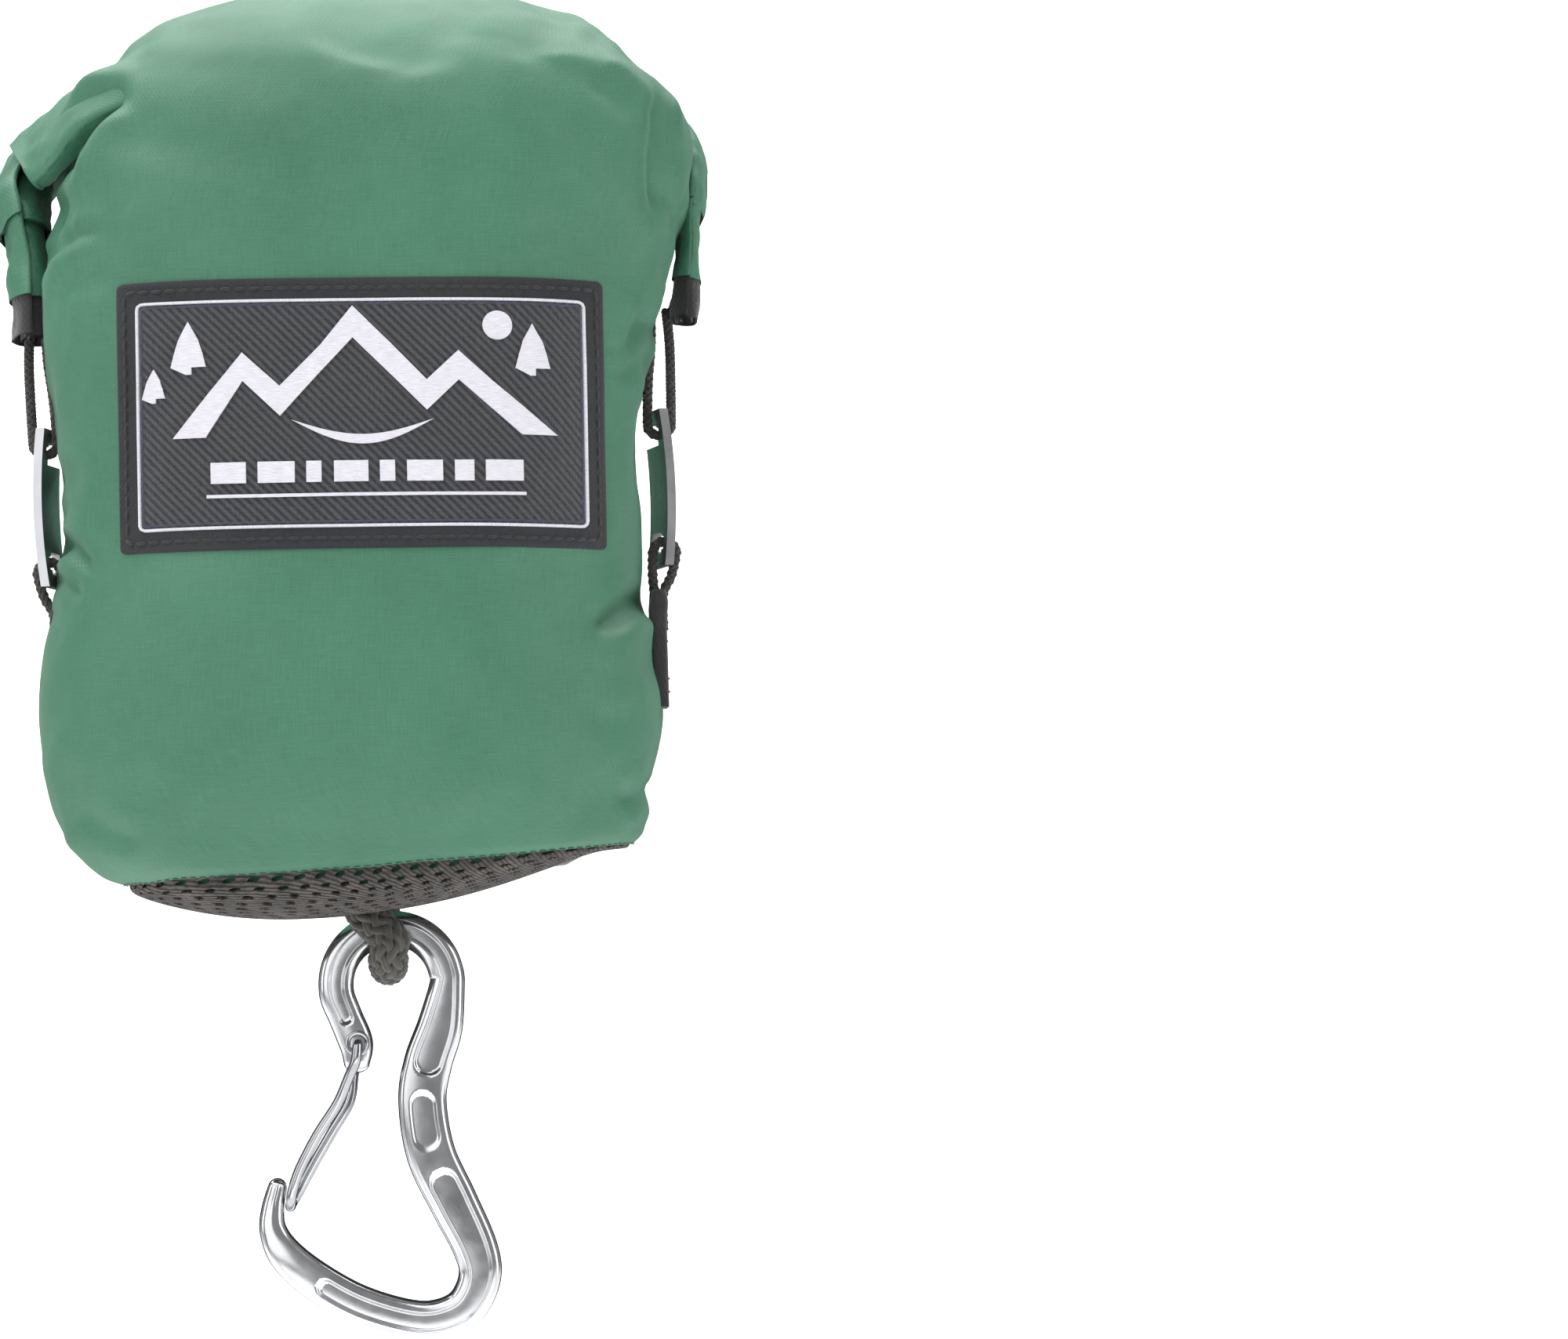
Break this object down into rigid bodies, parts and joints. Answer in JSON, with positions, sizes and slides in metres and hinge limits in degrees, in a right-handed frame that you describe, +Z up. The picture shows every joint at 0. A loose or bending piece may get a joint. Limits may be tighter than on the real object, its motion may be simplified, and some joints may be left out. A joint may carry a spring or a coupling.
{
  "type": "packed camping hammock",
  "caption": "Camping hammock packed in its roll-top stuff sack, with a mesh base, side fastenings, a sewn label and a wire-gate carabiner on a rope loop.",
  "frame": {"origin": "middle of the flat patch on the sack's back where a palm or a plate holds it", "axes": "+Z up, the label faces -Y, +X to the right as the label is seen"},
  "size_m": [0.157, 0.0915, 0.3053],
  "materials": {
    "green_nylon": "fine plain-weave nylon, slight sheen",
    "hammock_nylon": "thin packed nylon",
    "knit_mesh": "coarse knitted mesh",
    "dark_webbing": "woven tape",
    "side_cord": "braided cord",
    "braided_rope": "braided, mottled",
    "label_cloth": "packcloth",
    "label_weave": "woven, diagonal twill",
    "label_thread": "satin weave",
    "stitch_thread": "thread",
    "forged_aluminium": "polished, fine scratches",
    "hook_plate": "satin",
    "gate_wire": "polished steel wire"
  },
  "bodies": {
    "sack": {"front_panel": "green_nylon", "back_panel": "green_nylon", "base_mesh": "knit_mesh", "base_seam_tape": "dark_webbing", "roll_top": "green_nylon", "hem_tape": "dark_webbing", "ear_left": "green_nylon", "ear_right": "green_nylon", "ear_tape_left": "dark_webbing", "ear_tape_right": "dark_webbing", "label_backing": "label_cloth", "label_face": "label_weave", "label_stitching": "stitch_thread", "upper_cord_left": "side_cord", "upper_cord_right": "side_cord", "lower_cord_left": "side_cord", "lower_cord_right": "side_cord", "side_tab_left": "dark_webbing", "side_tab_right": "dark_webbing", "hammock_bundle": "hammock_nylon", "end_gather": "hammock_nylon", "rope_anchor": "braided_rope", "spare_gather": "hammock_nylon", "spare_rope_loop": "braided_rope", "spare_carabiner_frame": "forged_aluminium"},
    "rope": {"rope_loop": "braided_rope"},
    "carabiner": {"carabiner_frame": "forged_aluminium"},
    "gate": {"carabiner_gate": "gate_wire"},
    "hook_l": {"hook_left": "hook_plate"},
    "hook_r": {"hook_right": "hook_plate"},
    "spare_gate": {"spare_carabiner_gate": "gate_wire"}
  },
  "joints": [
    {"name": "rope_swing", "type": "hinge", "parent": "sack", "child": "rope", "pos_m": [0.0005, -0.045, -0.0895], "axis": [1, 0, 0], "range_deg": [-16, 16]},
    {"name": "carabiner_swing", "type": "hinge", "parent": "rope", "child": "carabiner", "pos_m": [0.004, -0.045, -0.1084], "axis": [0, 1, 0], "range_deg": [-55, 55]},
    {"name": "gate_open", "type": "hinge", "parent": "carabiner", "child": "gate", "pos_m": [-0.00416, -0.045, -0.12152], "axis": [0, -1, 0], "range_deg": [0, 36], "stiffness_Nm_per_rad": 0.03, "springref_deg": -17.19},
    {"name": "hook_slide_left", "type": "slide", "parent": "sack", "child": "hook_l", "axis": [-0.2079, -0.9781, 0], "range_m": [0, 0.007]},
    {"name": "hook_slide_right", "type": "slide", "parent": "sack", "child": "hook_r", "axis": [0.2079, -0.9781, 0], "range_m": [0, 0.007]},
    {"name": "spare_gate_open", "type": "hinge", "parent": "sack", "child": "spare_gate", "pos_m": [-0.0077, -0.045, 0.0626], "axis": [0, -1, 0], "range_deg": [0, 36], "stiffness_Nm_per_rad": 0.03, "springref_deg": -17.19}
  ]
}
